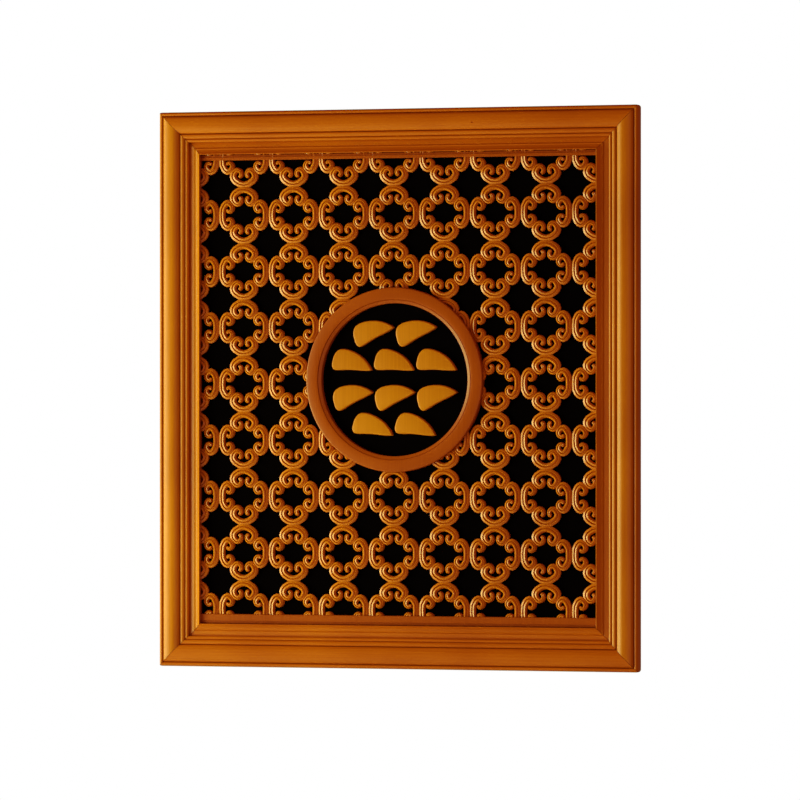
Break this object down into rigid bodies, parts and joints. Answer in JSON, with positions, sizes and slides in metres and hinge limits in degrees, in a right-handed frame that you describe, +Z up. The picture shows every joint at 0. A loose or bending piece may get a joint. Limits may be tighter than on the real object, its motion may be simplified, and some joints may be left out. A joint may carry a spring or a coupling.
{
  "type": "fretwork carved wooden wall panel",
  "caption": "Portrait wall panel with mitred moulded frame, pierced C-scroll fretwork board and a round medallion ring holding raised brush strokes over a black back.",
  "frame": {"origin": "centre of the back face, which lies against the wall", "axes": "+X right, +Z up, and +Y from the panel's front into the wall, so the carved face looks along -Y"},
  "size_m": [0.6, 0.0168, 0.67],
  "materials": {
    "frame_wood": "satin orange-brown varnish",
    "carved_wood": "satin orange-brown varnish over carving",
    "stroke_wood": "satin golden-brown varnish",
    "black_backing": "matt black"
  },
  "bodies": {
    "root": {"top_rail": "frame_wood", "right_stile": "frame_wood", "bottom_rail": "frame_wood", "left_stile": "frame_wood", "backing_board": "black_backing", "fretwork_board": "carved_wood", "brush_stroke_1": "stroke_wood", "brush_stroke_2": "stroke_wood", "brush_stroke_3": "stroke_wood", "brush_stroke_4": "stroke_wood", "brush_stroke_5": "stroke_wood", "brush_stroke_6": "stroke_wood", "brush_stroke_7": "stroke_wood", "brush_stroke_8": "stroke_wood", "brush_stroke_9": "stroke_wood", "brush_stroke_10": "stroke_wood"}
  },
  "joints": []
}
